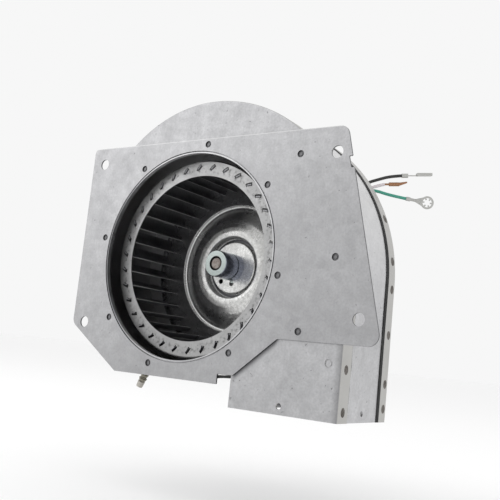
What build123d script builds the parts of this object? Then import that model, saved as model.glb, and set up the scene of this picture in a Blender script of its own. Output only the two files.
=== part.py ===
from build123d import *
import os
from math import atan2, cos, degrees, pi, radians, sin, sqrt, tan

# Combustion fan: a sheet-metal scroll on a mounting plate, a squirrel-cage wheel and its motor.
# Millimetres. +X is to the right, +Y runs back through the fan along the shaft, +Z is up.
# The origin is the centre of the inlet, on the front face of the mounting plate.

os.makedirs("parts", exist_ok=True)

# ---------------------------------------------------------------- driving dimensions
sheet = 1.0                       # gauge of the scroll's sheet metal
bend_round = 1.4                  # outside of the bend between a side sheet and its rim
plate_thick = 1.5
plate_hole_r = 90.0
plate_left, plate_top = -122.0, 100.0
mount_hole_r = 4.9
left_hole_x = -107.5
left_hole_z = (84.5, -62.5)
top_right_hole = (137.0, 79.5)
bottom_right_hole = (165.5, -45.0)
plate_edge_round = 0.3
clinch_r, clinch_deep = 2.9, 1.1
clinch_button_r, clinch_button_high = 1.3, 0.5
clinch_circle_r = 95.8
clinch_angles = (36.4, 82.3, 126.1, 170.9, 216.2, 254.6, 306.0, 350.9)
plate_clinches = ((105.0, 80.2), (142.8, -0.4), (117.1, -56.7))

inlet_r = 88.0
collar_flange_r = 91.5
collar_deep = 3.5

scroll_front_y = plate_thick      # front face of the scroll's front sheet
wrap_front_y = scroll_front_y + sheet
wrap_rear_y = 83.6
scroll_rear_y = wrap_rear_y + sheet
front_rim_y = 17.0                # how far back the front sheet's rim reaches
rear_rim_y = 71.8                 # how far forward the rear sheet's rim reaches
seal_y = 68.7
seal_proud = 0.6
outlet_right, outlet_left, outlet_floor = 153.45, 60.0, -119.0
# The scroll's outer face is four arcs, each tangent to the next: (centre x, centre z, radius).
right_arc = (10.8, -10.1, 142.65)
left_arc = (10.8, 8.8, 123.75)
lower_arc = (-6.3, 8.8, 106.65)
tongue_arc = (-6.3, -4.7, 93.15)
tongue_nose_r = 5.0
bead_r, bead_half_wide, bead_flat, bead_proud = 77.0, 4.0, 2.2, 1.4
outlet_dimple, dimple_r, dimple_deep = (144.2, -77.6), 3.3, 0.6
dimple_button_r, dimple_button_high = 2.1, 0.5
outlet_front_hole, outlet_front_hole_r = (105.5, -112.6), 2.3
outlet_side_hole, outlet_side_hole_r = (42.6, -112.3), 2.2

tap_angle = -115.0                # about the centre of the lower arc
tap_y = 36.0
tap_hole_r, tap_body_r, tap_bore_r, tap_r = 3.1, 3.0, 1.3, 2.6
tap_long, tap_shank, tap_head_r, tap_head_thick = 30.3, 7.0, 5.5, 1.4
tap_barbs, tap_barb_r, tap_barb_long = (14.0, 17.9, 21.8), 3.8, 3.0
tap_tip_foot_r, tap_tip_r, tap_tip_long = 3.3, 2.9, 5.2
washer_r, washer_thick, tap_nut_r, tap_nut_thick = 6.2, 0.8, 5.6, 4.2

wheel_front_y, wheel_rear_y = 13.5, 74.0
wheel_gauge = 0.8
wheel_r, wheel_eye_r, wheel_lip_deep = 85.4, 71.6, 3.2
blade_count, blade_gauge = 34, 0.7
blade_inner_r, blade_outer_r, blade_lean = 71.9, 83.6, 7.0
slot_long, slot_wide, slot_turn = 6.4, 3.0, 0.6   # each slot is turned a little past its tab
tab_long, tab_front_y = 4.4, 12.3
hub_r, hub_front_y, hub_rear_y = 11.8, 45.0, 72.0
hub_collar_r, hub_groove_y = 12.3, 63.6
shaft_r, shaft_front_y, shaft_rear_y = 6.35, 45.7, 200.0
set_screw_r, set_screw_y = 2.4, 54.0
set_screw_top_r, key_across_r, key_deep = 11.0, 1.5, 2.5
shaft_flat = 0.8                  # depth of the flat that the set screw bears on
disc_holes, disc_hole_r = ((-12.1, -12.9), (0.0, -14.5)), 2.4

running_gap = 0.05                # between the shaft and what it turns in
rear_hole_r = 14.0
felt_r, felt_thick = 20.0, 2.0
retainer_r, retainer_gauge, retainer_hole_r = 27.0, 0.8, 8.5
rivet_circle_r, rivet_r, rivet_head_r, rivet_head_thick = 23.6, 1.6, 2.4, 0.9
spacer_circle_r, spacer_r, spacer_hole_r = 56.0, 5.5, 2.2
spacer_angles = (90.0, 210.0, 330.0)
grommet_r, grommet_thick = 8.0, 3.5
screw_r, screw_head_r, screw_head_thick, screw_reach = 2.0, 4.2, 2.4, 112.0
drive_long, drive_wide, drive_deep = 6.0, 1.0, 1.0
motor_r, motor_wall = 63.5, 2.0
motor_front_y, motor_rear_y, shield_deep = 106.0, 203.0, 12.0
core_y = (132.0, 177.0)
core_bore_r, rotor_r = 33.2, 32.8
slot_count, core_slot_r, core_slot_long, core_slot_wide = 24, 43.5, 13.0, 5.0
winding_r, winding_bore_r, winding_deep = 51.0, 36.5, 11.0
end_ring_bore_r, end_ring_thick = 20.0, 5.0
thrust_washer_r, thrust_washer_thick = 9.5, 1.2
bolt_circle_r, bolt_r, bolt_head_r, bolt_head = 58.3, 2.1, 4.2, 3.2
bolt_angles = (15.0, 105.0, 195.0, 285.0)
bearing_r, bearing_deep = 11.0, 10.0
fan_y, fan_r, fan_blades = (90.0, 102.0), 48.0, 10
fan_hub_r, fan_disc_thick, fan_blade_long, fan_blade_thick = 12.0, 1.6, 36.5, 1.6

lead_r = 1.4
lead_exit_angle, lead_exit_y = 40.0, 125.0
grommet_face_r, lead_hole_r, lead_grommet_r = 68.0, 5.5, 8.0
# Each lead's route, from the motor's grommet to its terminal.
lead_routes = {
    "lead_black": ((50.2, 125.0, 46.0), (62.5, 125.0, 56.3), (86.0, 121.0, 76.5), (104.0, 119.5, 87.2),
                   (113.5, 125.0, 91.5), (122.0, 130.2, 95.2), (130.7, 135.8, 96.8)),
    "lead_white": ((53.1, 122.4, 42.6), (65.4, 122.4, 52.9), (85.0, 118.6, 70.2), (102.5, 118.0, 81.5),
                   (118.0, 128.2, 87.5)),
    "lead_green": ((53.1, 127.6, 42.6), (65.4, 127.6, 52.9), (82.0, 124.4, 68.6), (97.0, 121.0, 79.4),
                   (109.5, 123.9, 81.8), (122.0, 132.8, 78.2), (134.1, 141.2, 76.7)),
}
terminal_up = (-0.005, -0.173, 0.985)
terminal_face = (0.564, -0.814, -0.140)
black_terminal_way = (0.825, 0.564, 0.020)
white_terminal_way = (0.816, 0.529, 0.230)
green_terminal_way = (0.811, 0.577, -0.087)


# ---------------------------------------------------------------- helpers
def facing(depth):
    """A plane square to the shaft at this depth, read from the front; extrude by -t to go back."""
    return Plane(origin=(0, depth, 0), x_dir=(1, 0, 0), z_dir=(0, -1, 0))


def across(plane, distance):
    """The plane square to another's x direction, at a distance along it."""
    return Plane(origin=plane.origin + plane.x_dir * distance, x_dir=plane.y_dir, z_dir=plane.x_dir)


def polar(radius, angle):
    return (radius * cos(radians(angle)), radius * sin(radians(angle)))


def turned(*outline, mode=Mode.ADD):
    """Revolve a closed outline of (radius, depth) points about the shaft."""
    with BuildSketch(Plane.XY) as profile:
        with BuildLine():
            Polyline(*outline, close=True)
        make_face()
    revolve(profile.sketch, axis=Axis.Y, mode=mode)


def pressed(path, radii, gauge, side):
    """Revolve sheet metal of this gauge that follows a (radius, depth) path."""
    with BuildSketch(Plane.XY) as profile:
        with BuildLine():
            FilletPolyline(*path, radius=radii)
            offset(amount=gauge, side=side)
        make_face()
    revolve(profile.sketch, axis=Axis.Y)


def scroll_block(skin, tongue_skin, floor, start_y, end_y, mode=Mode.ADD):
    """Extrude the scroll's outline; its back grows by skin, its tongue and inner wall by tongue_skin."""
    nose_x = outlet_left - tongue_nose_r
    nose_reach = tongue_arc[2] + tongue_nose_r
    nose_z = tongue_arc[1] - sqrt(nose_reach ** 2 - (nose_x - tongue_arc[0]) ** 2)
    nose_angle = degrees(atan2(nose_x - tongue_arc[0], tongue_arc[1] - nose_z))
    right_x, left_x = outlet_right + skin, outlet_left - tongue_skin
    with BuildSketch(facing(start_y)) as outline:
        with BuildLine():
            Line((right_x, floor), (right_x, right_arc[1]))
            CenterArc(right_arc[:2], right_arc[2] + skin, 0, 90)
            CenterArc(left_arc[:2], left_arc[2] + skin, 90, 90)
            back = CenterArc(lower_arc[:2], lower_arc[2] + skin, 180, 90)
            throat = CenterArc(tongue_arc[:2], tongue_arc[2] + tongue_skin, 270, nose_angle)
            if skin != tongue_skin:
                Line(back @ 1, throat @ 0)
            nose = CenterArc((nose_x, nose_z), tongue_nose_r - tongue_skin, 90 + nose_angle, -90 - nose_angle)
            Line(nose @ 1, (left_x, floor))
            Line((left_x, floor), (right_x, floor))
        make_face()
    extrude(outline.sketch, amount=start_y - end_y, mode=mode)


def round_bend(end):
    """Round the outer bend between the scroll's side at this end of the shaft's axis and its rim."""
    rim = edges().group_by(Axis.Y)[end]
    arcs = rim.filter_by(GeomType.CIRCLE).filter_by(lambda edge: edge.radius > lower_arc[2])
    fillet(arcs + rim.filter_by(Axis.Z).sort_by(Axis.X)[-1:], bend_round)


def bead(start_y, mode=Mode.ADD):
    """The stiffening bead round the motor, standing back from this depth."""
    turned((bead_r - bead_half_wide, start_y), (bead_r - bead_flat, start_y + bead_proud),
           (bead_r + bead_flat, start_y + bead_proud), (bead_r + bead_half_wide, start_y), mode=mode)


below_outlet = outlet_floor - 10


# ---------------------------------------------------------------- housing
with BuildPart() as mounting_plate:
    slant_top_x, slant_foot_x, slant_foot_z = 144.0, 184.0, -63.5
    slant = (slant_foot_x - slant_top_x) / (plate_top - slant_foot_z)
    relief_top, relief_foot, relief_deep = 75.8, 66.8, 2.8
    relief_top_x = slant_top_x + slant * (plate_top - relief_top)
    relief_foot_x = slant_top_x + slant * (plate_top - relief_foot)
    clinch_spots = [polar(clinch_circle_r, a) for a in clinch_angles] + list(plate_clinches)
    with BuildSketch(facing(0)):
        with BuildLine():
            FilletPolyline(
                (plate_left, plate_top), (slant_top_x, plate_top), (relief_top_x, relief_top),
                (relief_top_x - relief_deep, relief_top), (relief_foot_x - relief_deep, relief_foot),
                (relief_foot_x, relief_foot), (slant_foot_x, slant_foot_z), (99.5, slant_foot_z),
                (62.0, -94.5), (47.4, -94.5), (47.4, -102.6), (-63.0, -102.6), (plate_left, -64.0),
                radius=(4, 8, 0.6, 0.6, 0.6, 0.6, 8, 2, 1, 0.8, 0.8, 2, 8), close=True)
        make_face()
        Circle(plate_hole_r, mode=Mode.SUBTRACT)
        with Locations([(left_hole_x, z) for z in left_hole_z] + [top_right_hole, bottom_right_hole]):
            Circle(mount_hole_r, mode=Mode.SUBTRACT)
    extrude(amount=-plate_thick)
    fillet(faces().sort_by(Axis.Y)[0].outer_wire().edges(), plate_edge_round)
    with BuildSketch(facing(0)):
        with Locations(clinch_spots):
            Circle(clinch_r)
    extrude(amount=-clinch_deep, mode=Mode.SUBTRACT)
    with BuildSketch(facing(clinch_deep)):
        with Locations(clinch_spots):
            Circle(clinch_button_r)
    extrude(amount=clinch_button_high)

with BuildPart() as inlet_collar:
    turned((inlet_r, 0), (inlet_r + sheet, 0), (inlet_r + sheet, wrap_front_y),
           (collar_flange_r, wrap_front_y), (collar_flange_r, collar_deep), (inlet_r, collar_deep))

with BuildPart() as scroll_front:
    scroll_block(sheet, 0, outlet_floor, scroll_front_y, front_rim_y)
    round_bend(0)
    scroll_block(0, 0, below_outlet, wrap_front_y, front_rim_y, Mode.SUBTRACT)
    with BuildSketch(facing(scroll_front_y)):
        Circle(inlet_r + sheet)
        with Locations(outlet_front_hole):
            Circle(outlet_front_hole_r)
    extrude(amount=-sheet, mode=Mode.SUBTRACT)
    with BuildSketch(facing(scroll_front_y)):
        with Locations(outlet_dimple):
            Circle(dimple_r)
    extrude(amount=-dimple_deep, mode=Mode.SUBTRACT)
    with BuildSketch(facing(scroll_front_y + dimple_deep)):
        with Locations(outlet_dimple):
            Circle(dimple_button_r)
    extrude(amount=dimple_button_high)

tap_way = Vector(cos(radians(tap_angle)), 0, sin(radians(tap_angle)))
tap_foot = Vector(lower_arc[0], tap_y, lower_arc[1]) + tap_way * lower_arc[2]
tap_plane = Plane(origin=tap_foot, x_dir=(0, 1, 0), z_dir=tap_way)

with BuildPart() as scroll_wrap:
    scroll_block(0, 0, outlet_floor, wrap_front_y, wrap_rear_y)
    scroll_block(-sheet, -sheet, below_outlet, wrap_front_y, wrap_rear_y, Mode.SUBTRACT)
    with BuildSketch(tap_plane.offset(2 * sheet)):
        Circle(tap_hole_r)
    extrude(amount=-4 * sheet, mode=Mode.SUBTRACT)
    with BuildSketch(Plane.YZ.offset(outlet_right + sheet)):
        with Locations(outlet_side_hole):
            Circle(outlet_side_hole_r)
    extrude(amount=-3 * sheet, mode=Mode.SUBTRACT)

with BuildPart() as scroll_rear:
    scroll_block(sheet, 0, outlet_floor, rear_rim_y, scroll_rear_y)
    round_bend(-1)
    scroll_block(0, 0, below_outlet, rear_rim_y, wrap_rear_y, Mode.SUBTRACT)
    bead(scroll_rear_y)
    bead(wrap_rear_y, Mode.SUBTRACT)
    with BuildSketch(facing(wrap_rear_y)):
        Circle(rear_hole_r)
        with Locations([polar(spacer_circle_r, a) for a in spacer_angles]):
            Circle(spacer_hole_r)
        with PolarLocations(rivet_circle_r, 3):
            Circle(rivet_r)
    extrude(amount=-sheet, mode=Mode.SUBTRACT)

with BuildPart() as rim_seal:
    scroll_block(seal_proud, 0, outlet_floor, seal_y, rear_rim_y)
    scroll_block(0, 0, below_outlet, seal_y, rear_rim_y, Mode.SUBTRACT)

def tap_round(start, radius, long, mode=Mode.ADD):
    """A cylinder on the tap's axis that starts this far outside the wrap."""
    with BuildSketch(tap_plane.offset(start)) as section:
        Circle(radius)
    extrude(section.sketch, amount=long, mode=mode)


with BuildPart() as pressure_tap:
    head_drop = 0.2
    tap_round(-sheet - head_drop - tap_head_thick, tap_head_r, tap_head_thick)
    tap_round(-sheet - head_drop, tap_body_r, tap_shank)
    tap_round(0, tap_r, tap_long)
    for barb in tap_barbs:
        with Locations(tap_plane.offset(barb)):
            Cone(tap_barb_r, tap_r, tap_barb_long, align=(Align.CENTER, Align.CENTER, Align.MIN))
    with Locations(tap_plane.offset(tap_long - tap_tip_long)):
        Cone(tap_tip_foot_r, tap_tip_r, tap_tip_long, align=(Align.CENTER, Align.CENTER, Align.MIN))
    tap_round(-2 * tap_head_r, tap_bore_r, tap_long + 4 * tap_head_r, Mode.SUBTRACT)

with BuildPart() as tap_nut:
    tap_round(0, washer_r, washer_thick)
    with BuildSketch(tap_plane.offset(washer_thick)):
        RegularPolygon(tap_nut_r, 6)
    extrude(amount=tap_nut_thick)
    tap_round(0, tap_body_r, washer_thick + tap_nut_thick, Mode.SUBTRACT)

with BuildPart() as shaft_seal:
    turned((shaft_r + running_gap, scroll_rear_y), (felt_r, scroll_rear_y),
           (felt_r, scroll_rear_y + felt_thick), (shaft_r + running_gap, scroll_rear_y + felt_thick))

with BuildPart() as seal_retainer:
    cap_y, flange_y = scroll_rear_y + felt_thick, scroll_rear_y + retainer_gauge
    turned((felt_r, scroll_rear_y), (retainer_r, scroll_rear_y), (retainer_r, flange_y),
           (felt_r + retainer_gauge, flange_y), (felt_r + retainer_gauge, cap_y + retainer_gauge),
           (retainer_hole_r, cap_y + retainer_gauge), (retainer_hole_r, cap_y), (felt_r, cap_y))
    with BuildSketch(facing(scroll_rear_y)):
        with PolarLocations(rivet_circle_r, 3):
            Circle(rivet_r)
    extrude(amount=-retainer_gauge, mode=Mode.SUBTRACT)

with BuildPart() as retainer_rivets:
    for start_y, radius, deep in ((wrap_rear_y - rivet_head_thick, rivet_head_r, rivet_head_thick),
                                  (wrap_rear_y, rivet_r, sheet + retainer_gauge),
                                  (flange_y, rivet_head_r, rivet_head_thick)):
        with BuildSketch(facing(start_y)):
            with PolarLocations(rivet_circle_r, 3):
                Circle(radius)
        extrude(amount=-deep)


# ---------------------------------------------------------------- motor mounting
spacer_spots = [polar(spacer_circle_r, a) for a in spacer_angles]
spacer_front_y = scroll_rear_y + grommet_thick

with BuildPart() as motor_grommets:
    with BuildSketch(facing(scroll_rear_y)):
        with Locations(spacer_spots):
            Circle(grommet_r)
            Circle(spacer_hole_r, mode=Mode.SUBTRACT)
    extrude(amount=-grommet_thick)

with BuildPart() as motor_spacers:
    with BuildSketch(facing(spacer_front_y)):
        with Locations(spacer_spots):
            Circle(spacer_r)
            Circle(spacer_hole_r, mode=Mode.SUBTRACT)
    extrude(amount=spacer_front_y - motor_front_y)

with BuildPart() as motor_screws:
    with BuildSketch(facing(wrap_rear_y - screw_head_thick)):
        with Locations(spacer_spots):
            Circle(screw_head_r)
    extrude(amount=-screw_head_thick)
    fillet(edges().filter_by(GeomType.CIRCLE).group_by(Axis.Y)[0], screw_head_thick / 2)
    with BuildSketch(facing(wrap_rear_y)):
        with Locations(spacer_spots):
            Circle(screw_r)
    extrude(amount=wrap_rear_y - screw_reach)
    with BuildSketch(facing(wrap_rear_y - screw_head_thick)):
        with Locations(spacer_spots):
            Rectangle(drive_long, drive_wide)
            Rectangle(drive_wide, drive_long)
    extrude(amount=-drive_deep, mode=Mode.SUBTRACT)


# ---------------------------------------------------------------- motor
bolt_spots = [polar(bolt_circle_r, a) for a in bolt_angles]
shell_inner_r = motor_r - motor_wall
shell_front_y, shell_rear_y = motor_front_y + shield_deep, motor_rear_y - shield_deep
shield_gauge = 2.5
boss_r, shield_lip_r = 14.0, 9.0
vent_circle_r, vent_count, vent_long, vent_wide = 34.0, 12, 20.0, 6.0
lead_way = Vector(cos(radians(lead_exit_angle)), 0, sin(radians(lead_exit_angle)))
lead_plane = Plane(origin=Vector(0, lead_exit_y, 0), x_dir=(0, 1, 0), z_dir=lead_way)


def vents(start_y):
    with BuildSketch(facing(start_y)) as slots:
        with PolarLocations(vent_circle_r, vent_count):
            SlotOverall(vent_long, vent_wide)
    extrude(slots.sketch, amount=-shield_gauge, mode=Mode.SUBTRACT)


with BuildPart() as motor_front_shield:
    turned((bearing_r, motor_front_y + 1), (bearing_r, shell_front_y - 1), (boss_r, shell_front_y - 1),
           (boss_r, motor_front_y + shield_gauge), (shell_inner_r, motor_front_y + shield_gauge),
           (shell_inner_r, shell_front_y), (motor_r, shell_front_y), (motor_r, motor_front_y),
           (shield_lip_r, motor_front_y), (shield_lip_r, motor_front_y + 1))
    with BuildSketch(facing(motor_front_y)):
        with Locations(spacer_spots):
            Circle(screw_r)
        with Locations(bolt_spots):
            Circle(bolt_r)
    extrude(amount=-shield_gauge, mode=Mode.SUBTRACT)
    vents(motor_front_y)

with BuildPart() as motor_shell:
    turned((shell_inner_r, shell_front_y), (motor_r, shell_front_y),
           (motor_r, shell_rear_y), (shell_inner_r, shell_rear_y))
    with BuildSketch(lead_plane.offset(boss_r)):
        Circle(lead_hole_r)
    extrude(amount=motor_r, mode=Mode.SUBTRACT)

with BuildPart() as motor_rear_shield:
    turned((0, motor_rear_y), (motor_r, motor_rear_y), (motor_r, shell_rear_y),
           (shell_inner_r, shell_rear_y), (shell_inner_r, motor_rear_y - shield_gauge),
           (boss_r, motor_rear_y - shield_gauge), (boss_r, shell_rear_y + 0.5),
           (bearing_r, shell_rear_y + 0.5), (bearing_r, motor_rear_y - 1.5), (0, motor_rear_y - 1.5))
    with BuildSketch(facing(motor_rear_y - shield_gauge)):
        with Locations(bolt_spots):
            Circle(bolt_r)
    extrude(amount=-shield_gauge, mode=Mode.SUBTRACT)
    vents(motor_rear_y - shield_gauge)

bolt_gap, winding_gap = 0.2, 0.3

with BuildPart() as stator_core:
    with BuildSketch(facing(core_y[0])):
        Circle(shell_inner_r)
        Circle(core_bore_r, mode=Mode.SUBTRACT)
        with PolarLocations(core_slot_r, slot_count):
            Rectangle(core_slot_long, core_slot_wide, mode=Mode.SUBTRACT)
        with Locations(bolt_spots):
            Circle(bolt_r + bolt_gap, mode=Mode.SUBTRACT)
    extrude(amount=core_y[0] - core_y[1])

with BuildPart() as stator_windings:
    for start_y in (core_y[0] - winding_deep, core_y[1]):
        with BuildSketch(facing(start_y)):
            Circle(winding_r)
            Circle(winding_bore_r, mode=Mode.SUBTRACT)
        extrude(amount=-winding_deep)
    for end in (0, -1):
        fillet(edges().filter_by(GeomType.CIRCLE).group_by(Axis.Y)[end], 10 * winding_gap)
    with BuildSketch(facing(core_y[0])):
        with PolarLocations(core_slot_r, slot_count):
            Rectangle(core_slot_long - 2 * winding_gap, core_slot_wide - 2 * winding_gap)
    extrude(amount=core_y[0] - core_y[1])


def bearing(start_y):
    bore_r = shaft_r + running_gap
    turned((bore_r, start_y), (bearing_r, start_y), (bearing_r, start_y + bearing_deep),
           (bore_r, start_y + bearing_deep))


with BuildPart() as front_bearing:
    bearing(motor_front_y + 1)

with BuildPart() as rear_bearing:
    bearing(shell_rear_y + 0.5)

with BuildPart() as through_bolts:
    bolt_end_y = motor_front_y - bolt_head - 1
    with BuildSketch(facing(motor_rear_y)):
        with Locations(bolt_spots):
            RegularPolygon(bolt_head_r, 6)
    extrude(amount=-bolt_head)
    with BuildSketch(facing(bolt_end_y)):
        with Locations(bolt_spots):
            Circle(bolt_r)
    extrude(amount=bolt_end_y - motor_rear_y)

with BuildPart() as bolt_nuts:
    with BuildSketch(facing(motor_front_y - bolt_head)):
        with Locations(bolt_spots):
            RegularPolygon(bolt_head_r, 6)
            Circle(bolt_r, mode=Mode.SUBTRACT)
    extrude(amount=-bolt_head)

with BuildPart() as lead_grommet:
    grommet_reach, grommet_round = 2.0, 1.5
    with BuildSketch(lead_plane.offset(shell_inner_r - grommet_reach)):
        Circle(lead_hole_r)
    extrude(amount=motor_wall + grommet_reach)
    with BuildSketch(lead_plane.offset(motor_r)):
        Circle(lead_grommet_r)
    extrude(amount=grommet_face_r - motor_r)
    fillet(edges().filter_by(GeomType.CIRCLE).sort_by(Axis(lead_plane.origin, lead_way))[-1], grommet_round)


# ---------------------------------------------------------------- rotor
with BuildPart() as motor_shaft:
    shaft_chamfer, flat_long = 1.6, 14.0
    turned((0, shaft_front_y), (shaft_r - shaft_chamfer, shaft_front_y),
           (shaft_r, shaft_front_y + shaft_chamfer), (shaft_r, shaft_rear_y), (0, shaft_rear_y))
    with Locations((0, shaft_front_y, shaft_r - shaft_flat)):
        Box(2 * shaft_r, flat_long, shaft_r, align=(Align.CENTER, Align.MIN, Align.MIN), mode=Mode.SUBTRACT)

with BuildPart() as rotor_core:
    turned((shaft_r, core_y[0]), (rotor_r, core_y[0]), (rotor_r, core_y[1]), (shaft_r, core_y[1]))

with BuildPart() as rotor_end_rings:
    end_ring_r = rotor_r - shaft_flat
    for start_y in (core_y[0] - end_ring_thick, core_y[1]):
        end_y = start_y + end_ring_thick
        turned((end_ring_bore_r, start_y), (end_ring_r, start_y),
               (end_ring_r, end_y), (end_ring_bore_r, end_y))

with BuildPart() as thrust_washers:
    for start_y in (shell_front_y - thrust_washer_thick / 2, shell_rear_y - thrust_washer_thick):
        end_y = start_y + thrust_washer_thick
        turned((shaft_r, start_y), (thrust_washer_r, start_y), (thrust_washer_r, end_y), (shaft_r, end_y))

with BuildPart() as cooling_fan:
    fan_disc_y, fan_blade_y = fan_y[1] - fan_disc_thick, fan_y[0] + 1
    turned((shaft_r, fan_y[0]), (fan_hub_r, fan_y[0]), (fan_hub_r, fan_disc_y), (fan_r, fan_disc_y),
           (fan_r, fan_y[1]), (shaft_r, fan_y[1]))
    with BuildSketch(facing(fan_blade_y)):
        with PolarLocations((fan_hub_r + fan_r - 1) / 2, fan_blades):
            Rectangle(fan_blade_long, fan_blade_thick)
    extrude(amount=fan_blade_y - fan_disc_y)

set_screw_plane = Plane(origin=(0, set_screw_y, 0), x_dir=(1, 0, 0), z_dir=(0, 0, 1))

with BuildPart() as wheel_hub:
    hub_chamfer, groove_deep, staking = 0.5, 0.7, 2.0
    groove_end_y, staked_y = hub_groove_y + groove_deep, hub_rear_y + wheel_gauge
    turned((shaft_r, hub_front_y), (hub_r - hub_chamfer, hub_front_y), (hub_r, hub_front_y + hub_chamfer),
           (hub_r, hub_groove_y), (hub_r - groove_deep, hub_groove_y), (hub_r - groove_deep, groove_end_y),
           (hub_collar_r, groove_end_y), (hub_collar_r, hub_rear_y), (hub_r, hub_rear_y), (hub_r, staked_y),
           (hub_r + staking, staked_y), (hub_r + staking, staked_y + staking), (shaft_r, staked_y + staking))
    with BuildSketch(set_screw_plane):
        Circle(set_screw_r)
    extrude(amount=hub_collar_r, mode=Mode.SUBTRACT)

with BuildPart() as hub_set_screw:
    screw_foot = shaft_r - shaft_flat
    with BuildSketch(set_screw_plane.offset(screw_foot)):
        Circle(set_screw_r)
    extrude(amount=set_screw_top_r - screw_foot)
    with BuildSketch(set_screw_plane.offset(set_screw_top_r)):
        RegularPolygon(key_across_r, 6)
    extrude(amount=-key_deep, mode=Mode.SUBTRACT)

with BuildPart() as wheel_back_disc:
    lip_r = wheel_r - wheel_gauge
    pressed(((hub_r, hub_rear_y), (23.9, hub_rear_y), (23.9, 75.8), (28.2, 75.8), (28.2, 67.2),
             (33, 67.0), (45, 69.6), (55.5, 76.4), (58.2, 76.4), (58.8, wheel_rear_y),
             (lip_r, wheel_rear_y), (lip_r, wheel_rear_y - wheel_lip_deep)),
            (1, 1, 1, 1.5, 10, 12, 3, 1, 1, 0.5), wheel_gauge, Side.LEFT)
    with BuildSketch(facing(hub_rear_y)):
        with Locations(disc_holes):
            Circle(disc_hole_r)
    extrude(amount=-wheel_gauge, mode=Mode.SUBTRACT)

blade_arc = ThreePointArc(polar(blade_inner_r, 0), polar((blade_inner_r + blade_outer_r) / 2, -1.6),
                          polar(blade_outer_r, -blade_lean))


def blade_strip(long, wide):
    """A strip of this size along the middle of the blade's curve."""
    span = long / blade_arc.length / 2
    with BuildSketch() as strip:
        trace(blade_arc.trim(0.5 - span, 0.5 + span), wide)
    return strip.sketch


with BuildPart() as wheel_front_ring:
    ring_back_y = wheel_front_y + wheel_gauge
    pressed(((wheel_eye_r, ring_back_y), (lip_r, ring_back_y), (lip_r, ring_back_y + wheel_lip_deep)),
            (0.5,), wheel_gauge, Side.RIGHT)
    with BuildSketch(facing(wheel_front_y)):
        with PolarLocations(0, blade_count, start_angle=slot_turn):
            add(blade_strip(slot_long, slot_wide))
    extrude(amount=-wheel_gauge, mode=Mode.SUBTRACT)

with BuildPart() as wheel_blades:
    with BuildSketch(facing(ring_back_y)):
        with PolarLocations(0, blade_count):
            add(blade_strip(blade_arc.length, blade_gauge))
    extrude(amount=ring_back_y - wheel_rear_y)
    with BuildSketch(facing(tab_front_y)):
        with PolarLocations(0, blade_count):
            add(blade_strip(tab_long, blade_gauge))
    extrude(amount=tab_front_y - ring_back_y)


# ---------------------------------------------------------------- leads and terminals
def corner_radii(route):
    """The largest arc that each corner of a route takes."""
    points = [Vector(*point) for point in route]
    radii = []
    for before, here, after in zip(points, points[1:], points[2:]):
        half_turn = (here - before).get_angle(after - here) / 2
        radii.append(0.45 * min((here - before).length, (after - here).length) / tan(radians(half_turn)))
    return radii


def lead(route):
    with BuildLine() as path:
        FilletPolyline(*route, radius=corner_radii(route))
    with BuildSketch(Plane(origin=path.line @ 0, z_dir=path.line % 0)) as section:
        Circle(lead_r)
    sweep(section.sketch, path=path.line)
    return sum(edge.length for edge in path.line.edges())


with BuildPart() as lead_black:
    black_length = lead(lead_routes["lead_black"])

with BuildPart() as lead_white:
    white_length = lead(lead_routes["lead_white"])

with BuildPart() as lead_green:
    green_length = lead(lead_routes["lead_green"])

black_plane = Plane(origin=lead_routes["lead_black"][-1], x_dir=black_terminal_way, z_dir=terminal_up)
white_plane = Plane(origin=lead_routes["lead_white"][-1], x_dir=white_terminal_way, z_dir=terminal_up)
green_plane = Plane(origin=lead_routes["lead_green"][-1], x_dir=green_terminal_way, z_dir=terminal_face)

with BuildPart() as terminal_black:
    crimp_long, neck_end, socket_end = 5.6, 13.6, 27.0
    with BuildSketch(across(black_plane, 0)):
        Circle(2.0)
    extrude(amount=crimp_long)
    with BuildSketch(across(black_plane, crimp_long - 1)):
        Rectangle(3.0, 0.8)
    extrude(amount=neck_end - crimp_long + 1.5)
    with BuildSketch(across(black_plane, neck_end)):
        Rectangle(7.2, 0.8)
        for side in (-1, 1):
            with Locations((side * 2.5, 1.0)):
                Circle(1.35)
    extrude(amount=socket_end - neck_end)

with BuildPart() as terminal_white:
    strand_end, barrel_end, pin_end = 4.0, 13.0, 20.5
    with BuildSketch(across(white_plane, 0)):
        Circle(0.9)
    extrude(amount=strand_end)
    with BuildSketch(across(white_plane, strand_end)):
        Circle(1.8)
    extrude(amount=barrel_end - strand_end)
    with BuildSketch(across(white_plane, barrel_end)):
        Circle(1.6)
    with BuildSketch(across(white_plane, pin_end)):
        with Locations((0, 1.8)):
            Circle(0.7)
    loft()

with BuildPart() as terminal_green:
    grip_long, barrel_long, eye_x, eye_r, star_r = 3.8, 9.4, 19.6, 5.9, 4.2
    with BuildSketch(across(green_plane, 0)):
        Circle(1.9)
    extrude(amount=grip_long)
    with BuildSketch(across(green_plane, grip_long)):
        Circle(1.35)
    extrude(amount=barrel_long - grip_long)
    with BuildSketch(green_plane.offset(-0.4)):
        with BuildLine():
            Polyline((barrel_long - 1, -1.2), (eye_x - 3, -4.6), (eye_x - 3, 4.6), (barrel_long - 1, 1.2),
                     close=True)
        make_face()
        with Locations((eye_x, 0)):
            Circle(eye_r)
            Circle(star_r, mode=Mode.SUBTRACT)
            with PolarLocations(star_r - 0.5, 6):
                Rectangle(2.4, 1.3)
    extrude(amount=0.8)

for name, route, piece, length in (("lead_black", lead_routes["lead_black"], lead_black, black_length),
                                   ("lead_white", lead_routes["lead_white"], lead_white, white_length),
                                   ("lead_green", lead_routes["lead_green"], lead_green, green_length)):
    section = pi * lead_r ** 2
    print(name, "length", round(length, 1), "radii", [round(r, 1) for r in corner_radii(route)],
          "volume ratio", round(piece.part.volume / (section * length), 4))


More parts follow.
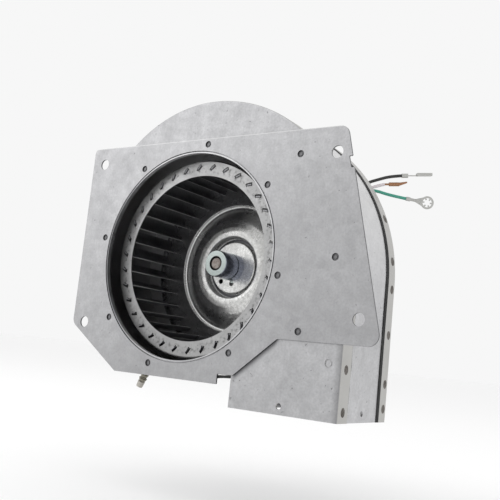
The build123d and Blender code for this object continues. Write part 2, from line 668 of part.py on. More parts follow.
# ---------------------------------------------------------------- export
pieces = {
    "mounting_plate": mounting_plate, "inlet_collar": inlet_collar, "scroll_front": scroll_front,
    "scroll_wrap": scroll_wrap, "scroll_rear": scroll_rear, "rim_seal": rim_seal,
    "pressure_tap": pressure_tap, "tap_nut": tap_nut, "shaft_seal": shaft_seal,
    "seal_retainer": seal_retainer, "retainer_rivets": retainer_rivets, "motor_grommets": motor_grommets,
    "motor_spacers": motor_spacers, "motor_screws": motor_screws, "motor_front_shield": motor_front_shield,
    "motor_shell": motor_shell, "motor_rear_shield": motor_rear_shield, "stator_core": stator_core,
    "stator_windings": stator_windings, "front_bearing": front_bearing, "rear_bearing": rear_bearing,
    "through_bolts": through_bolts, "bolt_nuts": bolt_nuts, "lead_grommet": lead_grommet,
    "motor_shaft": motor_shaft, "rotor_core": rotor_core, "rotor_end_rings": rotor_end_rings,
    "thrust_washers": thrust_washers, "cooling_fan": cooling_fan, "wheel_hub": wheel_hub,
    "hub_set_screw": hub_set_screw, "wheel_back_disc": wheel_back_disc,
    "wheel_front_ring": wheel_front_ring, "wheel_blades": wheel_blades, "lead_black": lead_black,
    "lead_white": lead_white, "lead_green": lead_green, "terminal_black": terminal_black,
    "terminal_white": terminal_white, "terminal_green": terminal_green,
}
for name, piece in pieces.items():
    piece.part.label = name
    export_step(piece.part, f"parts/{name}.step")
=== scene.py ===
from math import cos, pi, sin

import bmesh
import bpy
from mathutils import Matrix, Vector


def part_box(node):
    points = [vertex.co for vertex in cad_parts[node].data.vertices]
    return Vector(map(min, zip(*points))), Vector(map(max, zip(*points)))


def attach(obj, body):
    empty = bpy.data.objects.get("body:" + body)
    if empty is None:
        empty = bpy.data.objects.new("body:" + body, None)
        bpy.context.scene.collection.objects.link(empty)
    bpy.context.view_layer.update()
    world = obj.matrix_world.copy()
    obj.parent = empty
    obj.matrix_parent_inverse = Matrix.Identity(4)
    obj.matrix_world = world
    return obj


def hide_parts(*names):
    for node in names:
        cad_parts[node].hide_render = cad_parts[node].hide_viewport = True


# Looks of the combustion fan, in metres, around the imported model.
# +X is right, +Y runs back along the shaft, +Z is up; the origin is the centre of the inlet.
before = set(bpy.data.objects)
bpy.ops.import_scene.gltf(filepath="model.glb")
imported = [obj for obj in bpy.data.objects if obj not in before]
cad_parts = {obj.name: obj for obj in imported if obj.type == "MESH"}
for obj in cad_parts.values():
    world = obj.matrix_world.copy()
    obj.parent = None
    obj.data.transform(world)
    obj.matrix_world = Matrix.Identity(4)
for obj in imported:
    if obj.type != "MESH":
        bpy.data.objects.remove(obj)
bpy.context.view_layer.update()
MM = 0.001
scene = bpy.context.scene
scene.view_settings.view_transform = "Standard"


# ---------------------------------------------------------------- camera and stage
CAMERA_PLACE = Vector((0.3972, -0.4768, -0.0780))
CAMERA_RIGHT = Vector((0.82578, 0.55474, 0.10174))
CAMERA_UP = Vector((-0.00490, -0.17332, 0.98485))
LENS_IN_MM, SENSOR_IN_MM = 53.46, 36.0
NEAREST_SEEN = 0.01
WHITE = (1.0, 1.0, 1.0, 1.0)
STUDIO_STRENGTH = 0.93
FLOOR_Z, FLOOR_RADIUS, FLOOR_CORNERS = -0.20, 30.0, 96
FLOOR_COLOUR, FLOOR_ROUGHNESS, FLOOR_GLOW = (0.84, 0.84, 0.84, 1.0), 0.9, 0.12
# For each softbox: its place, the point it faces, its two sides and its power in watts
SOFTBOXES = {
    "top_softbox": ((-0.5, -0.7, 1.6), (0, 0, 0), (1.2, 1.2), 4),
    "left_softbox": ((-1.8, -1.4, 1.1), (-0.1, 0, 0.05), (1.8, 1.8), 11),
    "right_softbox": ((1.7, 0.4, 0.9), (0.15, 0, 0), (0.8, 0.8), 2),
}


def add_camera():
    """The camera stands in front, to the right and a little below, rolled a few degrees."""
    back = CAMERA_RIGHT.cross(CAMERA_UP)
    axes = Matrix((CAMERA_RIGHT, CAMERA_UP, back)).transposed()
    data = bpy.data.cameras.new("camera")
    data.sensor_width = SENSOR_IN_MM
    data.lens = LENS_IN_MM
    data.clip_start = NEAREST_SEEN
    camera = bpy.data.objects.new("camera", data)
    camera.matrix_world = Matrix.Translation(CAMERA_PLACE) @ axes.to_4x4()
    scene.collection.objects.link(camera)
    scene.camera = camera


def add_floor():
    """A wide, level, pale disc that glows faintly, so that its far edge melts into the studio."""
    mesh = bmesh.new()
    turns = [2 * pi * i / FLOOR_CORNERS for i in range(FLOOR_CORNERS)]
    mesh.faces.new([mesh.verts.new((FLOOR_RADIUS * cos(turn), FLOOR_RADIUS * sin(turn), FLOOR_Z))
                    for turn in turns])
    data = bpy.data.meshes.new("floor")
    mesh.to_mesh(data)
    mesh.free()
    floor = bpy.data.objects.new("floor", data)
    white = bpy.data.materials.new("floor_white")
    white.use_nodes = True
    sockets = white.node_tree.nodes["Principled BSDF"].inputs
    sockets["Base Color"].default_value = FLOOR_COLOUR
    sockets["Roughness"].default_value = FLOOR_ROUGHNESS
    sockets["Emission Color"].default_value = WHITE
    sockets["Emission Strength"].default_value = FLOOR_GLOW
    data.materials.append(white)
    scene.collection.objects.link(floor)


def add_area_light(name, place, target, sides, power):
    data = bpy.data.lights.new(name, "AREA")
    data.shape = "RECTANGLE"
    data.size, data.size_y = sides
    data.energy = power
    light = bpy.data.objects.new(name, data)
    turned = (target - place).to_track_quat("-Z", "Y").to_matrix().to_4x4()
    light.matrix_world = Matrix.Translation(place) @ turned
    scene.collection.objects.link(light)


def add_light():
    """A bright, even studio: pale all round, with softboxes above, left and right."""
    world = bpy.data.worlds.new("studio")
    scene.world = world
    world.use_nodes = True
    sockets = world.node_tree.nodes["Background"].inputs
    sockets["Color"].default_value = WHITE
    sockets["Strength"].default_value = STUDIO_STRENGTH
    for name, (place, target, sides, power) in SOFTBOXES.items():
        add_area_light(name, Vector(place), Vector(target), sides, power)


add_camera()
add_floor()
add_light()


# ---------------------------------------------------------------- leads
LEAD_WIDE = 2.8 * MM
# The points of each lead's route in mm, from the motor's grommet to the lead's own end
LEADS = {
    "lead_black": ((50.2, 125.0, 46.0), (62.5, 125.0, 56.3), (86.0, 121.0, 76.5),
                   (104.0, 119.5, 87.2), (113.5, 125.0, 91.5), (122.0, 130.2, 95.2),
                   (130.7, 135.8, 96.8)),
    "lead_white": ((53.1, 122.4, 42.6), (65.4, 122.4, 52.9), (85.0, 118.6, 70.2),
                   (102.5, 118.0, 81.5), (118.0, 128.2, 87.5)),
    "lead_green": ((53.1, 127.6, 42.6), (65.4, 127.6, 52.9), (82.0, 124.4, 68.6),
                   (97.0, 121.0, 79.4), (109.5, 123.9, 81.8), (122.0, 132.8, 78.2),
                   (134.1, 141.2, 76.7)),
}
CURVE_ORDER, CURVE_STEPS, CURVE_ROUNDNESS = 3, 16, 8


def add_lead(name, route):
    """One wire along its route. A curve's bound box takes in the radius of its points, so the
    bevel is 1 m and each point's radius is that of the wire."""
    data = bpy.data.curves.new(name + "_wire", "CURVE")
    data.dimensions = "3D"
    data.resolution_u = CURVE_STEPS
    data.bevel_depth = 1.0
    data.bevel_resolution = CURVE_ROUNDNESS
    data.use_fill_caps = True
    spline = data.splines.new("NURBS")
    spline.points.add(len(route) - 1)
    for point, place in zip(spline.points, route):
        point.co = (*(v * MM for v in place), 1.0)
        point.radius = LEAD_WIDE / 2
    spline.order_u = CURVE_ORDER
    spline.use_endpoint_u = True
    wire = bpy.data.objects.new(name + "_wire", data)
    scene.collection.objects.link(wire)
    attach(wire, "housing")
    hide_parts(name)
    return wire


wires = {name: add_lead(name, route) for name, route in LEADS.items()}


# ---------------------------------------------------------------- materials
# The Mix node's sockets share their names, so those for colours are found by number
MIX_FACTOR, MIX_FIRST, MIX_SECOND, MIX_RESULT = 0, 6, 7, 2
# Most of a noise texture's values lie between these
NOISE_LOW, NOISE_HIGH = 0.3, 0.7
BUMP_DISTANCE = 0.2 * MM


class Shader:
    """A Principled material fed by procedural textures in the object's own frame."""

    def __init__(self, name, colour, metallic, roughness):
        self.material = bpy.data.materials.new(name)
        self.material.use_nodes = True
        self.tree = self.material.node_tree
        self.main = self.tree.nodes["Principled BSDF"]
        self.main.inputs["Metallic"].default_value = metallic
        self.main.inputs["Roughness"].default_value = roughness
        self.main.inputs["Base Color"].default_value = (*colour, 1.0)
        coordinates = self.node("ShaderNodeTexCoord")
        self.place = coordinates.outputs["Object"]
        self.x, self.y, self.z = self.split(self.place)
        self.nx, self.ny, self.nz = self.split(coordinates.outputs["Normal"])

    def node(self, kind, **settings):
        made = self.tree.nodes.new(kind)
        for key, value in settings.items():
            setattr(made, key, value)
        return made

    def feed(self, value, socket):
        """Link a socket's value, or set a plain one."""
        if isinstance(value, bpy.types.NodeSocket):
            self.tree.links.new(value, socket)
        else:
            socket.default_value = (*value, 1.0) if isinstance(value, tuple) else value

    def split(self, vector):
        parts = self.node("ShaderNodeSeparateXYZ")
        self.feed(vector, parts.inputs["Vector"])
        return parts.outputs

    def noise(self, scale, detail=3.0, stretch=None, rough=0.5):
        made = self.node("ShaderNodeTexNoise")
        made.inputs["Scale"].default_value = scale
        made.inputs["Detail"].default_value = detail
        made.inputs["Roughness"].default_value = rough
        place = self.place
        if stretch:
            mapping = self.node("ShaderNodeMapping")
            mapping.inputs["Scale"].default_value = stretch
            self.feed(place, mapping.inputs["Vector"])
            place = mapping.outputs["Vector"]
        self.feed(place, made.inputs["Vector"])
        return made.outputs["Fac"]

    def cells(self, scale):
        """A random value for each crystal cell."""
        made = self.node("ShaderNodeTexVoronoi")
        made.inputs["Scale"].default_value = scale
        self.feed(self.place, made.inputs["Vector"])
        shades = self.node("ShaderNodeSeparateColor")
        self.feed(made.outputs["Color"], shades.inputs["Color"])
        return shades.outputs["Red"]

    def span(self, value, low, high, start, end):
        """Map value from start..end to low..high, clamped."""
        made = self.node("ShaderNodeMapRange")
        limits = {"From Min": start, "From Max": end, "To Min": low, "To Max": high}
        for socket, number in limits.items():
            made.inputs[socket].default_value = number
        self.feed(value, made.inputs["Value"])
        return made.outputs["Result"]

    def rising(self, value, start, end, most=1.0):
        """0 up to start, growing to most at end."""
        return self.span(value, 0.0, most, start, end)

    def falling(self, value, start, end, most=1.0):
        """most up to start, shrinking to 0 at end."""
        return self.span(value, most, 0.0, start, end)

    def between(self, value, low, high, soft=0.05 * MM):
        """1 where value lies between low and high, 0 elsewhere."""
        return self.times(self.rising(value, low - soft, low + soft),
                          self.falling(value, high - soft, high + soft))

    def vary(self, low, high, scale, detail, stretch=None):
        """Noise that wanders from low to high."""
        return self.span(self.noise(scale, detail, stretch), low, high, NOISE_LOW, NOISE_HIGH)

    def maths(self, operation, first, second=0.0):
        made = self.node("ShaderNodeMath", operation=operation)
        self.feed(first, made.inputs[0])
        self.feed(second, made.inputs[1])
        return made.outputs["Value"]

    def plus(self, first, second):
        return self.maths("ADD", first, second)

    def minus(self, first, second):
        return self.maths("SUBTRACT", first, second)

    def times(self, first, second):
        return self.maths("MULTIPLY", first, second)

    def greatest(self, first, second):
        return self.maths("MAXIMUM", first, second)

    def radius(self):
        """Distance from the shaft's axis."""
        return self.maths("SQRT", self.plus(self.times(self.x, self.x),
                                            self.times(self.z, self.z)))

    def mix(self, factor, first, second):
        made = self.node("ShaderNodeMix", data_type="RGBA")
        self.feed(factor, made.inputs[MIX_FACTOR])
        self.feed(first, made.inputs[MIX_FIRST])
        self.feed(second, made.inputs[MIX_SECOND])
        return made.outputs[MIX_RESULT]

    def colour(self, value):
        self.feed(value, self.main.inputs["Base Color"])

    def roughness(self, value):
        self.feed(value, self.main.inputs["Roughness"])

    def bump(self, height, strength):
        made = self.node("ShaderNodeBump")
        made.inputs["Strength"].default_value = strength
        made.inputs["Distance"].default_value = BUMP_DISTANCE
        self.feed(height, made.inputs["Height"])
        self.feed(made.outputs["Normal"], self.main.inputs["Normal"])


def scaled(colour, factor):
    return tuple(min(1.0, channel * factor) for channel in colour)


# For each kind of mark on a sheet: its noise's scale, detail and roughness, how strongly it
# shows, the noise values at which it starts and is full, and the share of the colour it leaves
SHEET_MARKS = (
    (120.0, 3.0, 0.5, 0.26, 0.36, 0.64, 0.62),  # mottle
    (42.0, 5.0, 0.65, 0.40, 0.60, 0.76, 0.60),  # dull smudges
    (520.0, 4.0, 0.7, 0.34, 0.38, 0.66, 0.55),  # grain
    (330.0, 2.0, 0.5, 0.70, 0.70, 0.75, 0.30),  # specks
)
# Scale and detail of the noise, and for the rolling marks how the place is stretched
SHEET_CLOUDS, SHEET_SHEEN, SHEET_RELIEF = (16.0, 4.0), (55.0, 4.0), (700.0, 3.0)
SHEET_ROLLED, ROLLED_SHOWS = (1.0, 3.0, (900.0, 900.0, 26.0)), 0.04
SHEET_CELLS = 170.0
SHEET_LIGHT, SHEET_DARK = 1.08, 0.2
SHEET_SMOOTHER, SHEET_ROUGHER, SHEET_BUMP = 0.07, 0.09, 0.12


def sheet_metal(name, colour, roughness, spangle=0.05, cloud=0.10, overlay=None, metallic=1.0):
    """Zinc-coated or plain metal: faint crystal cells, clouds and fine rolling marks, with the
    marks of SHEET_MARKS on them. An overlay adds what only this node shows."""
    shader = Shader(name, colour, metallic, roughness)
    cells = shader.rising(shader.cells(SHEET_CELLS), 0.0, 1.0, most=spangle)
    clouds = shader.vary(0.0, cloud, *SHEET_CLOUDS)
    rolled = shader.vary(0.0, ROLLED_SHOWS, *SHEET_ROLLED)
    amount = shader.plus(shader.plus(cells, clouds), rolled)
    tone = shader.mix(amount, scaled(colour, SHEET_LIGHT), scaled(colour, SHEET_DARK))
    for scale, detail, rough, shows, start, full, left in SHEET_MARKS:
        mark = shader.rising(shader.noise(scale, detail, rough=rough), start, full, shows)
        tone = shader.mix(mark, tone, scaled(colour, left))
    if overlay:
        tone = overlay(shader, tone)
    shader.colour(tone)
    shader.roughness(shader.vary(roughness - SHEET_SMOOTHER, roughness + SHEET_ROUGHER,
                                 *SHEET_SHEEN))
    shader.bump(shader.noise(*SHEET_RELIEF), SHEET_BUMP)
    return shader.material


MOULDED_MOTTLE, MOULDED_SHEEN, MOULDED_RELIEF = (220.0, 4.0), (120.0, 3.0), (1400.0, 2.0)
MOULDED_DARK, MOULDED_SMOOTHER, MOULDED_ROUGHER, MOULDED_BUMP = 0.55, 0.06, 0.08, 0.15


def moulded(name, colour, roughness, speck=0.15):
    """Plastic, rubber, paint or felt: one colour with fine mottling and a soft grain."""
    shader = Shader(name, colour, 0.0, roughness)
    mottle = shader.vary(0.0, speck, *MOULDED_MOTTLE)
    shader.colour(shader.mix(mottle, colour, scaled(colour, MOULDED_DARK)))
    shader.roughness(shader.vary(roughness - MOULDED_SMOOTHER, roughness + MOULDED_ROUGHER,
                                 *MOULDED_SHEEN))
    shader.bump(shader.noise(*MOULDED_RELIEF), MOULDED_BUMP)
    return shader.material


# ---------------------------------------------------------------- what single nodes show
# Zinc, its painted shade, the pans' rims, cut edges with painted shade, painted inside shade, a
# painted edge highlight
GALVANISED = (0.51, 0.51, 0.52)
PAINTED_SHADE_ZINC = scaled(GALVANISED, 0.35)
STRIP = (0.49, 0.485, 0.47)
CUT_EDGE_AND_SHADE = (0.13, 0.13, 0.135)
INSIDE_SHADE = (0.40, 0.40, 0.405)
PAINTED_EDGE_HIGHLIGHT = (0.62, 0.62, 0.62)
# A painted light patch, a painted lighter top and a painted highlight on the disc's rib
PAINTED_LIGHT_PATCH = (0.9, 0.9, 0.9)
PAINTED_TOP_LIGHT = (0.85, 0.85, 0.85)
PAINTED_RIB_HIGHLIGHT = (0.85, 0.85, 0.84)
RING_DIRT = (0.09, 0.09, 0.09)
# The disc's grey grain, and its dirt with painted shade and a painted dark reflection
DISC_GREY, DISC_DIRT_AND_SHADE = (0.42, 0.42, 0.41), (0.06, 0.06, 0.065)
# The hub's face, and the painted shade in its bore
HUB_FACE, HUB_BORE = (0.30, 0.335, 0.325), (0.05, 0.05, 0.05)
# The shaft's worn end, and a painted dark reflection on its chamfer
SHAFT_WORN, PAINTED_CHAMFER_REFLECTION = (0.34, 0.32, 0.30), (0.06, 0.055, 0.05)
TAP_TARNISH = (0.16, 0.15, 0.11)
# Painted shade between the copper's strands
STRAND_GAP_SHADE = (0.10, 0.045, 0.025)

_, PLATE_THICK, PLATE_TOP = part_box("mounting_plate")[1]
RIM_X, FRONT_RIM_END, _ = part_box("scroll_front")[1]
# The lower and upper end of the plate's slanted edge, in X and Z
PLATE_SLANT = (Vector((0.0620, -0.0945)), Vector((0.0995, -0.0635)))
OUTLET_LEFT, OUTLET_MIDDLE, OUTLET_TOP = 55 * MM, 106 * MM, -78 * MM
# The way that the tap points, and how far along it the tap's clean tip starts
TAP_END, TAP_TIP_LONG = Vector((-0.06417, 0.0, -0.11532)), 5.5 * MM
TAP_WAY = Vector((-0.42262, 0.0, -0.90631))
TAP_TIP_FROM = TAP_END.dot(TAP_WAY) - TAP_TIP_LONG
# Phase per metre of the lines of painted shade across the bare copper
STRAND_TURNS = 2 * pi / (2.4 * MM)
# Radii from the shaft's axis
SHAFT_CHAMFER, HUB_BORE_EDGE = (4.4 * MM, 5.2 * MM), (6.4 * MM, 6.8 * MM)
CUP_GROOVE, INSIDE_RIB, RIB = (24.4 * MM, 27.6 * MM), (37 * MM, 57.3 * MM), (57.3 * MM, 58.8 * MM)
OUTSIDE_RIB = (58.6 * MM, 59.4 * MM)
BLADE_EDGE, RING_SLOTS = (71.0 * MM, 72.0 * MM), (74.5 * MM, 81.5 * MM)
# Y of the normal, from -1 on a face that looks forwards to 1 on one that looks back
LOOKS_FORWARDS = (-0.9, -0.6)
# Where a pan's rim and the painted shade on its inside begin and end, on the same scale
RIM_FADE, INSIDE_FADE = (0.35, 0.75), (0.4, 0.6)


def plate_overlay(shader, tone):
    """The plate has painted shade towards its lower right and a painted highlight along its top
    edge. Its sheared edges are dark, partly their own colour and partly painted shade, its
    clinches' hollows get painted shade, and that shade is a little lighter on the clinches'
    floors."""
    slope, most_shaded, least_shaded = 0.5, -130 * MM, 100 * MM
    height = shader.minus(shader.z, shader.times(shader.x, slope))
    # Painted shade, darker towards the lower right
    tone = shader.mix(shader.falling(height, most_shaded, least_shaded, most=0.30), tone, PAINTED_SHADE_ZINC)
    # A painted highlight along the top edge
    top_edge = shader.rising(shader.z, PLATE_TOP - 0.9 * MM, PLATE_TOP - 0.5 * MM, most=0.7)
    tone = shader.mix(top_edge, tone, PAINTED_EDGE_HIGHLIGHT)
    # Cut edges, dark partly in their own colour and partly as painted shade, and painted shade in
    # the clinches' hollows
    cut_and_hollow_shade = shader.between(shader.y, 0.25 * MM, PLATE_THICK - 0.05 * MM)
    tone = shader.mix(cut_and_hollow_shade, tone, CUT_EDGE_AND_SHADE)
    # A little less of that painted shade on the clinches' forward-facing floors
    lightened = shader.times(shader.between(shader.y, 0.5 * MM, 0.7 * MM),
                        shader.falling(shader.ny, *LOOKS_FORWARDS, most=0.12))
    return shader.mix(lightened, tone, GALVANISED)


def front_overlay(shader, tone):
    """The front sheet has painted shade near its right bend, a painted shadow under the plate's
    slanted edge, a painted light patch where it shows through the plate's top right hole, and
    painted shade inside."""
    # Painted shade near the right bend
    near_bend = shader.rising(shader.x, RIM_X - 6 * MM, RIM_X - 1 * MM, most=0.55)
    tone = shader.mix(near_bend, tone, PAINTED_SHADE_ZINC)
    # A painted shadow under the plate's slanted edge
    foot, top = PLATE_SLANT
    along = (top - foot).normalized()
    across = shader.minus(shader.times(shader.x, along.y), shader.times(shader.z, along.x))
    below = shader.minus(across, foot.x * along.y - foot.y * along.x)
    fade = shader.times(shader.falling(below, 0.9 * MM, 4.2 * MM, most=0.85),
                        shader.rising(below, -2 * MM, -1 * MM))
    painted_shadow = shader.times(shader.between(shader.x, foot.x, top.x, soft=2 * MM), fade)
    tone = shader.mix(painted_shadow, tone, CUT_EDGE_AND_SHADE)
    # A painted light patch where the sheet shows through the plate's top right hole
    corner = shader.times(shader.rising(shader.x, 126 * MM, 130 * MM),
                          shader.rising(shader.z, 68 * MM, 72 * MM))
    tone = shader.mix(corner, tone, PAINTED_LIGHT_PATCH)
    rim = shader.rising(shader.ny, -RIM_FADE[1], -RIM_FADE[0])
    tone = shader.mix(rim, tone, STRIP)
    # Painted shade on the inside
    inside = shader.rising(shader.ny, *INSIDE_FADE)
    return shader.mix(inside, tone, INSIDE_SHADE)


def rear_overlay(shader, tone):
    """The rear pan has the same rim as the front sheet, and painted shade on its inside."""
    rim = shader.falling(shader.ny, *RIM_FADE)
    tone = shader.mix(rim, tone, STRIP)
    # Painted shade on the inside
    inside = shader.falling(shader.ny, -INSIDE_FADE[1], -INSIDE_FADE[0])
    return shader.mix(inside, tone, INSIDE_SHADE)


def wrap_overlay(shader, tone):
    """Painted lighter towards the top, with painted shade as a dark, uneven line along the front
    rim, and painted shade inside. The inside faces the shaft's axis, and in the outlet it faces
    the outlet's middle."""
    # Painted light towards the top
    higher = shader.rising(shader.z, -40 * MM, 60 * MM, most=0.5)
    tone = shader.mix(higher, tone, PAINTED_TOP_LIGHT)
    # Painted shade along the front rim's edge, where the strip stands proud of the wrap
    wander = shader.vary(-0.5 * MM, 0.6 * MM, scale=130.0, detail=3.0)
    seam = shader.between(shader.minus(shader.y, wander),
                          FRONT_RIM_END - 2 * MM, FRONT_RIM_END + 2.2 * MM)
    tone = shader.mix(seam, tone, CUT_EDGE_AND_SHADE)
    # Painted shade on the inside
    outlet = shader.times(shader.falling(shader.z, OUTLET_TOP - 1 * MM, OUTLET_TOP),
                          shader.rising(shader.x, OUTLET_LEFT, OUTLET_LEFT + 1 * MM))
    from_middle = shader.minus(shader.x, shader.times(outlet, OUTLET_MIDDLE))
    outward = shader.plus(shader.times(from_middle, shader.nx), shader.times(shader.z, shader.nz))
    inside = shader.falling(outward, -1 * MM, 1 * MM)
    return shader.mix(inside, tone, INSIDE_SHADE)


def blade_overlay(shader, tone):
    """Each blade's inner edge gets a painted highlight."""
    inner_edge = shader.between(shader.radius(), *BLADE_EDGE)
    return shader.mix(inner_edge, tone, PAINTED_EDGE_HIGHLIGHT)


def ring_overlay(shader, tone):
    """Dirt gathers round the slots of the wheel's front ring."""
    slots = shader.between(shader.radius(), *RING_SLOTS, soft=1.2 * MM)
    blotches = shader.rising(shader.noise(scale=300.0), 0.5, 0.68, most=0.7)
    return shader.mix(shader.times(slots, blotches), tone, RING_DIRT)


def disc_overlay(shader, tone):
    """Dirt and painted shade in the groove round the cup, painted shade from the rib out to the
    blades, a painted dark reflection inside the rib mostly on one side, and a painted highlight
    on the rib."""
    out = shader.radius()
    grain = shader.rising(shader.noise(scale=360.0, detail=4.0, rough=0.75), 0.42, 0.62, most=0.7)
    tone = shader.mix(grain, tone, DISC_GREY)
    # Dirt and painted shade in the groove, painted shade beyond the rib, a painted dark
    # reflection inside it on one side
    groove = shader.between(out, *CUP_GROOVE, soft=0.6 * MM)
    outer = shader.rising(out, *OUTSIDE_RIB, most=0.9)
    lean, shaded_side, lit_side = -0.15, 0.85, 0.05
    sideways = shader.plus(shader.x, shader.times(shader.z, lean))
    one_side = shader.span(sideways, shaded_side, lit_side, -4 * MM, 16 * MM)
    inner = shader.times(shader.between(out, *INSIDE_RIB, soft=0.9 * MM), one_side)
    dirt_and_shade = shader.greatest(shader.greatest(outer, inner), groove)
    tone = shader.mix(dirt_and_shade, tone, DISC_DIRT_AND_SHADE)
    # A painted highlight on the rib
    rib = shader.between(out, *RIB, soft=0.2 * MM)
    return shader.mix(rib, tone, PAINTED_RIB_HIGHLIGHT)


def hub_overlay(shader, tone):
    """The hub's turned face is paler than its blued side, and its bore has painted shade."""
    face = shader.falling(shader.ny, *LOOKS_FORWARDS)
    tone = shader.mix(face, tone, HUB_FACE)
    # Painted shade in the bore
    bore = shader.falling(shader.radius(), *HUB_BORE_EDGE)
    return shader.mix(bore, tone, HUB_BORE)


def shaft_overlay(shader, tone):
    """The shaft's end is worn in the middle, with a painted dark reflection round its chamfer."""
    lightened = shader.rising(shader.noise(scale=330.0), 0.4, 0.6, most=0.8)
    tone = shader.mix(lightened, tone, SHAFT_WORN)
    # A painted dark reflection round the chamfer
    chamfer = shader.rising(shader.radius(), *SHAFT_CHAMFER)
    return shader.mix(chamfer, tone, PAINTED_CHAMFER_REFLECTION)


def collar_overlay(shader, tone):
    """The collar has painted shade on its left."""
    darkened = shader.falling(shader.x, -80 * MM, -35 * MM, most=0.85)
    return shader.mix(darkened, tone, CUT_EDGE_AND_SHADE)


def tap_overlay(shader, tone):
    """The tap's ribs are tarnished; its tip is cleaner."""
    down = shader.plus(shader.times(shader.x, TAP_WAY.x), shader.times(shader.z, TAP_WAY.z))
    darkened = shader.falling(down, TAP_TIP_FROM - 1 * MM, TAP_TIP_FROM, most=0.75)
    return shader.mix(darkened, tone, TAP_TARNISH)


def strand_overlay(shader, tone):
    """Lines of painted shade slant across the bare copper, between its twisted strands."""
    slant = shader.plus(shader.times(shader.x, STRAND_TURNS),
                        shader.times(shader.z, 2 * STRAND_TURNS))
    dark = shader.rising(shader.maths("SINE", slant), 0.1, 0.9, most=0.7)
    return shader.mix(dark, tone, STRAND_GAP_SHADE)


def dress(material, *names):
    for name in names:
        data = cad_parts[name].data
        data.materials.clear()
        data.materials.append(material)


dress(sheet_metal("galvanised_plate", GALVANISED, 0.48, 0.09, 0.16, plate_overlay),
      "mounting_plate")
dress(sheet_metal("galvanised_front", scaled(GALVANISED, 0.95), 0.45, 0.07, 0.14, front_overlay),
      "scroll_front")
dress(sheet_metal("galvanised_rear", GALVANISED, 0.38, overlay=rear_overlay), "scroll_rear")
dress(sheet_metal("galvanised_wrap", scaled(GALVANISED, 1.15), 0.36, overlay=wrap_overlay),
      "scroll_wrap")
dress(sheet_metal("galvanised_collar", scaled(GALVANISED, 1.05), 0.32, overlay=collar_overlay),
      "inlet_collar")
dress(sheet_metal("galvanised_retainer", scaled(GALVANISED, 1.05), 0.32), "seal_retainer")
dress(sheet_metal("wheel_ring_steel", (0.45, 0.45, 0.45), 0.38, 0.08, 0.3, ring_overlay),
      "wheel_front_ring")
# The blades' steel is darker than the ring's: painted shade for the enclosed wheel
dress(sheet_metal("wheel_blade_steel_shaded", (0.36, 0.36, 0.375), 0.38, 0.04, 0.2, blade_overlay),
      "wheel_blades")
dress(sheet_metal("wheel_disc_zinc", (0.93, 0.93, 0.91), 0.27, 0.22, 0.25, disc_overlay, 0.75),
      "wheel_back_disc")
dress(sheet_metal("hub_steel", (0.25, 0.27, 0.34), 0.18, 0.0, 0.06, hub_overlay), "wheel_hub")
dress(sheet_metal("shaft_steel", (0.24, 0.20, 0.18), 0.5, 0.0, 0.3, shaft_overlay), "motor_shaft")
dress(sheet_metal("screw_steel", (0.40, 0.40, 0.41), 0.35, 0.0, 0.1), "motor_screws",
      "through_bolts", "bolt_nuts", "retainer_rivets", "hub_set_screw", "motor_spacers")
dress(sheet_metal("tap_nickel", (0.50, 0.48, 0.44), 0.3, 0.0, 0.12, tap_overlay),
      "pressure_tap", "tap_nut")
dress(sheet_metal("tin_plate", (0.52, 0.52, 0.50), 0.3, 0.0, 0.12),
      "terminal_black", "terminal_green")
dress(sheet_metal("terminal_copper", (0.50, 0.27, 0.16), 0.33, 0.0, 0.25, strand_overlay),
      "terminal_white")
dress(sheet_metal("lamination", (0.25, 0.25, 0.27), 0.5, 0.0, 0.2), "stator_core", "rotor_core")
dress(sheet_metal("winding_copper", (0.6, 0.28, 0.13), 0.35, 0.0, 0.2), "stator_windings")
dress(sheet_metal("bronze", (0.55, 0.4, 0.2), 0.4, 0.0, 0.15),
      "front_bearing", "rear_bearing", "thrust_washers")
dress(sheet_metal("cast_aluminium", (0.6, 0.61, 0.62), 0.45, 0.0, 0.1), "rotor_end_rings")
# The rim seal is near black: a dark part standing in for the shade of the deep gap between the
# wrap and the rear rim
dress(moulded("seal_black_gap_shade", (0.012, 0.012, 0.012), 0.7), "rim_seal")
dress(moulded("rubber_black", (0.02, 0.02, 0.021), 0.6), "motor_grommets", "lead_grommet")
dress(moulded("felt_grey", (0.3, 0.29, 0.26), 0.95, 0.4), "shaft_seal")
dress(moulded("fan_plastic", (0.03, 0.03, 0.032), 0.45), "cooling_fan")
dress(moulded("motor_paint", (0.025, 0.025, 0.028), 0.42),
      "motor_shell", "motor_front_shield", "motor_rear_shield")
WIRE_COLOURS = {"lead_black": (0.018, 0.018, 0.017), "lead_white": (0.72, 0.66, 0.68),
                "lead_green": (0.06, 0.34, 0.25)}
for name, colour in WIRE_COLOURS.items():
    wires[name].data.materials.append(moulded(name + "_insulation", colour, 0.38, 0.1))


# ---------------------------------------------------------------- welds and a cord of painted shadow
def add_piece(name, mesh, material):
    """A smooth piece that rides on the housing."""
    data = bpy.data.meshes.new(name)
    bmesh.ops.recalc_face_normals(mesh, faces=mesh.faces)
    mesh.to_mesh(data)
    mesh.free()
    for face in data.polygons:
        face.use_smooth = True
    piece = bpy.data.objects.new(name, data)
    data.materials.append(material)
    scene.collection.objects.link(piece)
    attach(piece, "housing")


def join_rows(mesh, rows):
    """Faces between each closed row of corners and the next."""
    for near, far in zip(rows, rows[1:]):
        for k in range(len(near)):
            after = (k + 1) % len(near)
            mesh.faces.new((near[k], near[after], far[after], far[k]))


WELD_COLOUR, WELD_PALE, WELD_BURNT = (0.16, 0.145, 0.13), (0.17, 0.155, 0.14), (0.05, 0.044, 0.04)


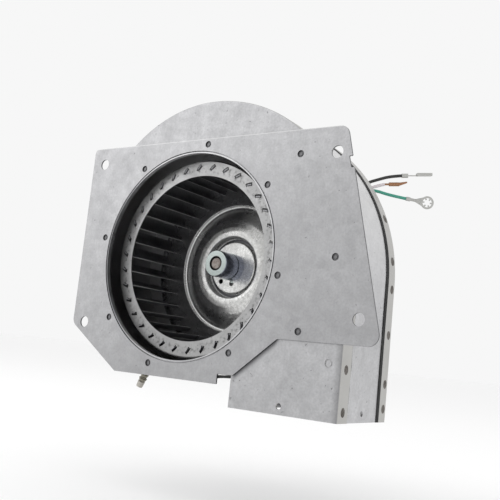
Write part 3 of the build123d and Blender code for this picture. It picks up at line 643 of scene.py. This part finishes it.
def weld_material():
    shader = Shader("weld_heat", WELD_COLOUR, 1.0, 0.45)
    burnt = shader.rising(shader.noise(scale=600.0), 0.35, 0.65, most=0.7)
    shader.colour(shader.mix(burnt, WELD_PALE, WELD_BURNT))
    shader.roughness(shader.vary(0.35, 0.6, scale=300.0, detail=2.0))
    shader.bump(shader.noise(scale=900.0, detail=2.0), strength=0.3)
    return shader.material


# Half the height and depth of a weld, its lip's height, and its gap from the rim under it
WELD_HALF_HIGH, WELD_HALF_DEEP, WELD_PROUD, WELD_GAP = 3.5 * MM, 3.1 * MM, 0.12 * MM, 0.01 * MM
WELD_CORNERS = 24
# From the outside in: the share of the weld's size and of its lip's height
WELD_RINGS = ((1.0, 0.0), (0.86, 1.0), (0.68, 0.35), (0.35, 0.15))
# The heights of the welds in mm, on the front and on the rear rim
FRONT_WELDS, FRONT_WELD_Y = (-81.0, -111.3), 9.5 * MM
REAR_WELDS, REAR_WELD_Y = (44.5, 9.0, -14.0, -50.7, -89.5, -108.7), 79 * MM
# X and Z of the centre of the rim's arc on the right; below it the rim is straight
ARC_CENTRE = (10.8 * MM, -10.1 * MM)


def rim_place(z):
    """A point of the rim's outer face on the right, at this height, and the way that it faces."""
    if z <= ARC_CENTRE[1]:
        return Vector((RIM_X, 0, z)), Vector((1, 0, 0))
    reach = RIM_X - ARC_CENTRE[0]
    rise = z - ARC_CENTRE[1]
    out = Vector(((reach ** 2 - rise ** 2) ** 0.5, 0, rise)) / reach
    return Vector((ARC_CENTRE[0], 0, ARC_CENTRE[1])) + out * reach, out


def add_welds():
    """Spot welds: shallow oval dishes with a raised lip."""
    spots = [(z, FRONT_WELD_Y) for z in FRONT_WELDS] + [(z, REAR_WELD_Y) for z in REAR_WELDS]
    turns = [2 * pi * k / WELD_CORNERS for k in range(WELD_CORNERS)]
    mesh = bmesh.new()
    for z, depth in spots:
        middle, out = rim_place(z * MM)
        middle.y = depth
        along = Vector((0, 1, 0)).cross(out)
        rows = []
        for share, height in WELD_RINGS:
            lift = out * (WELD_PROUD * height + WELD_GAP)
            rows.append([mesh.verts.new(middle + lift
                                        + along * (WELD_HALF_HIGH * share * cos(turn))
                                        + Vector((0, WELD_HALF_DEEP * share * sin(turn), 0)))
                         for turn in turns])
        join_rows(mesh, rows)
        mesh.faces.new(rows[-1])
    add_piece("weld_marks", mesh, weld_material())


BEAD_START, BEAD_END = Vector((42.5, 2.7, -97.2)) * MM, Vector((60.2, 2.7, -95.5)) * MM
BEAD_RADIUS, BEAD_CORNERS, BEAD_STEPS = 1.15 * MM, 16, 12
BEAD_END_SHARE, BEAD_SWELL, BEAD_SWELL_RATE = 0.6, 0.08, 9


def add_shadow_cord():
    """A black cord in the plate's relief that stands for a painted shadow gap, from behind the
    plate to the outlet's corner. It swells a little on its way and is narrower at its ends."""
    up = Vector((0, -1, 0)).cross((BEAD_END - BEAD_START).normalized())
    turns = [2 * pi * k / BEAD_CORNERS for k in range(BEAD_CORNERS)]
    mesh = bmesh.new()
    rows = []
    for step in range(BEAD_STEPS + 1):
        share = step / BEAD_STEPS
        middle = BEAD_START.lerp(BEAD_END, share)
        end_share = BEAD_END_SHARE if step in (0, BEAD_STEPS) else 1.0
        radius = BEAD_RADIUS * (1 + BEAD_SWELL * sin(BEAD_SWELL_RATE * share)) * end_share
        rows.append([mesh.verts.new(middle + up * (radius * sin(turn))
                                    + Vector((0, radius * cos(turn), 0))) for turn in turns])
    join_rows(mesh, rows)
    mesh.faces.new(rows[0])
    mesh.faces.new(rows[-1])
    add_piece("shadow_cord", mesh, moulded("shadow_cord_black", (0.015, 0.015, 0.015), 0.6))


add_welds()
add_shadow_cord()
